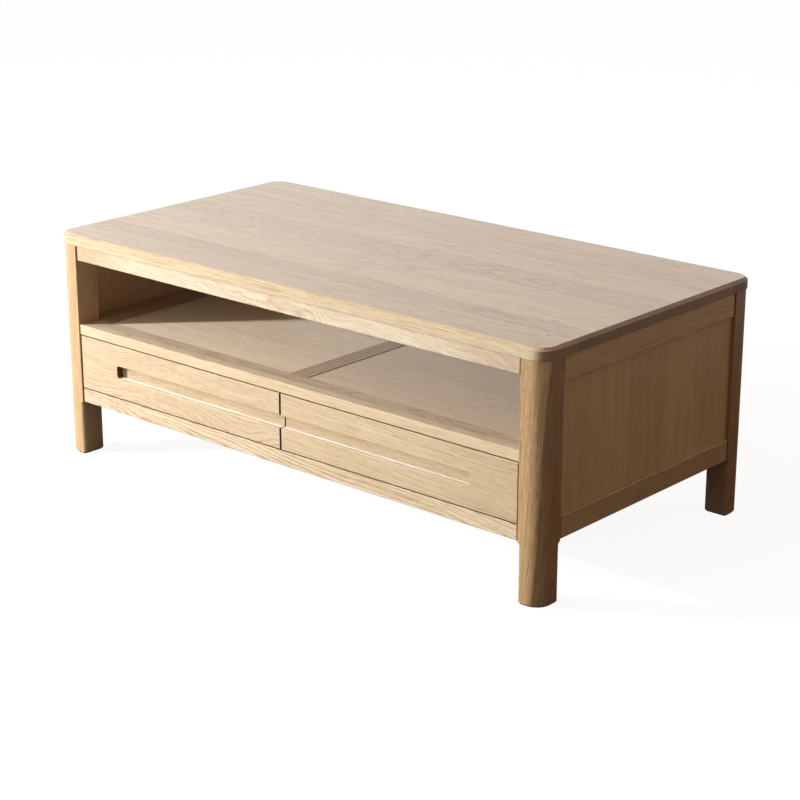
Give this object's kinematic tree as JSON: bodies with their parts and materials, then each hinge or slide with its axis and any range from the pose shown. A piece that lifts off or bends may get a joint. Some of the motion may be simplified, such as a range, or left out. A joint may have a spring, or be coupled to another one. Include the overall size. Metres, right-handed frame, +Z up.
{
  "type": "coffee table",
  "caption": "Low oblong oak coffee table on rounded legs, with an open shelf under the top and drawers pulled by a shared finger slot.",
  "frame": {"origin": "on the floor, under the middle of the table", "axes": "+X along the width to the right as seen from the front, -Y out of the drawer fronts, +Z up"},
  "size_m": [1.2, 0.616, 0.452],
  "materials": {
    "oak_top": "oiled oak, satin",
    "oak_frame": "oiled oak, satin",
    "oak_panel": "oiled oak, satin",
    "oak_front": "oiled oak, satin",
    "inner_wood": "planed oak, unfinished",
    "drawer_wood": "planed wood, matt lacquer",
    "drawer_bottom": "veneered plywood, matt",
    "slide_steel": "zinc plated",
    "screw_steel": "zinc plated"
  },
  "bodies": {
    "case": {"tabletop": "oak_top", "leg_front_left": "oak_frame", "leg_front_right": "oak_frame", "leg_rear_left": "oak_frame", "leg_rear_right": "oak_frame", "front_top_rail": "oak_frame", "rear_top_rail": "oak_frame", "left_top_rail": "oak_frame", "right_top_rail": "oak_frame", "front_bottom_rail": "oak_frame", "rear_bottom_rail": "oak_frame", "left_bottom_rail": "oak_frame", "right_bottom_rail": "oak_frame", "shelf_front_rail": "oak_frame", "shelf_rear_rail": "oak_frame", "shelf_left_rail": "oak_frame", "shelf_right_rail": "oak_frame", "shelf_centre_muntin": "oak_frame", "left_side_panel": "oak_panel", "right_side_panel": "oak_panel", "back_panel": "oak_panel", "shelf_left_panel": "oak_panel", "shelf_right_panel": "oak_panel", "top_cross_rail": "inner_wood", "bottom_centre_rail": "inner_wood", "drawer_partition": "inner_wood", "left_slide_batten": "inner_wood", "right_slide_batten": "inner_wood", "tabletop_buttons": "inner_wood", "tabletop_screws": "screw_steel", "case_slide_screws": "screw_steel", "left_drawer_left_slide_case_member": "slide_steel", "left_drawer_right_slide_case_member": "slide_steel", "right_drawer_left_slide_case_member": "slide_steel", "right_drawer_right_slide_case_member": "slide_steel"},
    "left_drawer": {"left_drawer_front": "oak_front", "left_drawer_left_side": "drawer_wood", "left_drawer_right_side": "drawer_wood", "left_drawer_back": "drawer_wood", "left_drawer_bottom": "drawer_bottom", "left_drawer_slide_screws": "screw_steel", "left_drawer_left_slide_drawer_member": "slide_steel", "left_drawer_right_slide_drawer_member": "slide_steel"},
    "left_slide_middles": {"left_drawer_left_slide_middle_member": "slide_steel", "left_drawer_right_slide_middle_member": "slide_steel"},
    "right_drawer": {"right_drawer_front": "oak_front", "right_drawer_left_side": "drawer_wood", "right_drawer_right_side": "drawer_wood", "right_drawer_back": "drawer_wood", "right_drawer_bottom": "drawer_bottom", "right_drawer_slide_screws": "screw_steel", "right_drawer_left_slide_drawer_member": "slide_steel", "right_drawer_right_slide_drawer_member": "slide_steel"},
    "right_slide_middles": {"right_drawer_left_slide_middle_member": "slide_steel", "right_drawer_right_slide_middle_member": "slide_steel"}
  },
  "joints": [
    {"name": "left_drawer_slide", "type": "slide", "parent": "case", "child": "left_drawer", "axis": [0, -1, 0], "range_m": [0, 0.5]},
    {"name": "left_middle_slide", "type": "slide", "parent": "case", "child": "left_slide_middles", "axis": [0, -1, 0], "range_m": [0, 0.25]},
    {"name": "right_drawer_slide", "type": "slide", "parent": "case", "child": "right_drawer", "axis": [0, -1, 0], "range_m": [0, 0.5]},
    {"name": "right_middle_slide", "type": "slide", "parent": "case", "child": "right_slide_middles", "axis": [0, -1, 0], "range_m": [0, 0.25]}
  ],
  "couplings": [
    {"joint": "left_middle_slide", "follows": "left_drawer_slide", "ratio": 0.5},
    {"joint": "right_middle_slide", "follows": "right_drawer_slide", "ratio": 0.5}
  ]
}
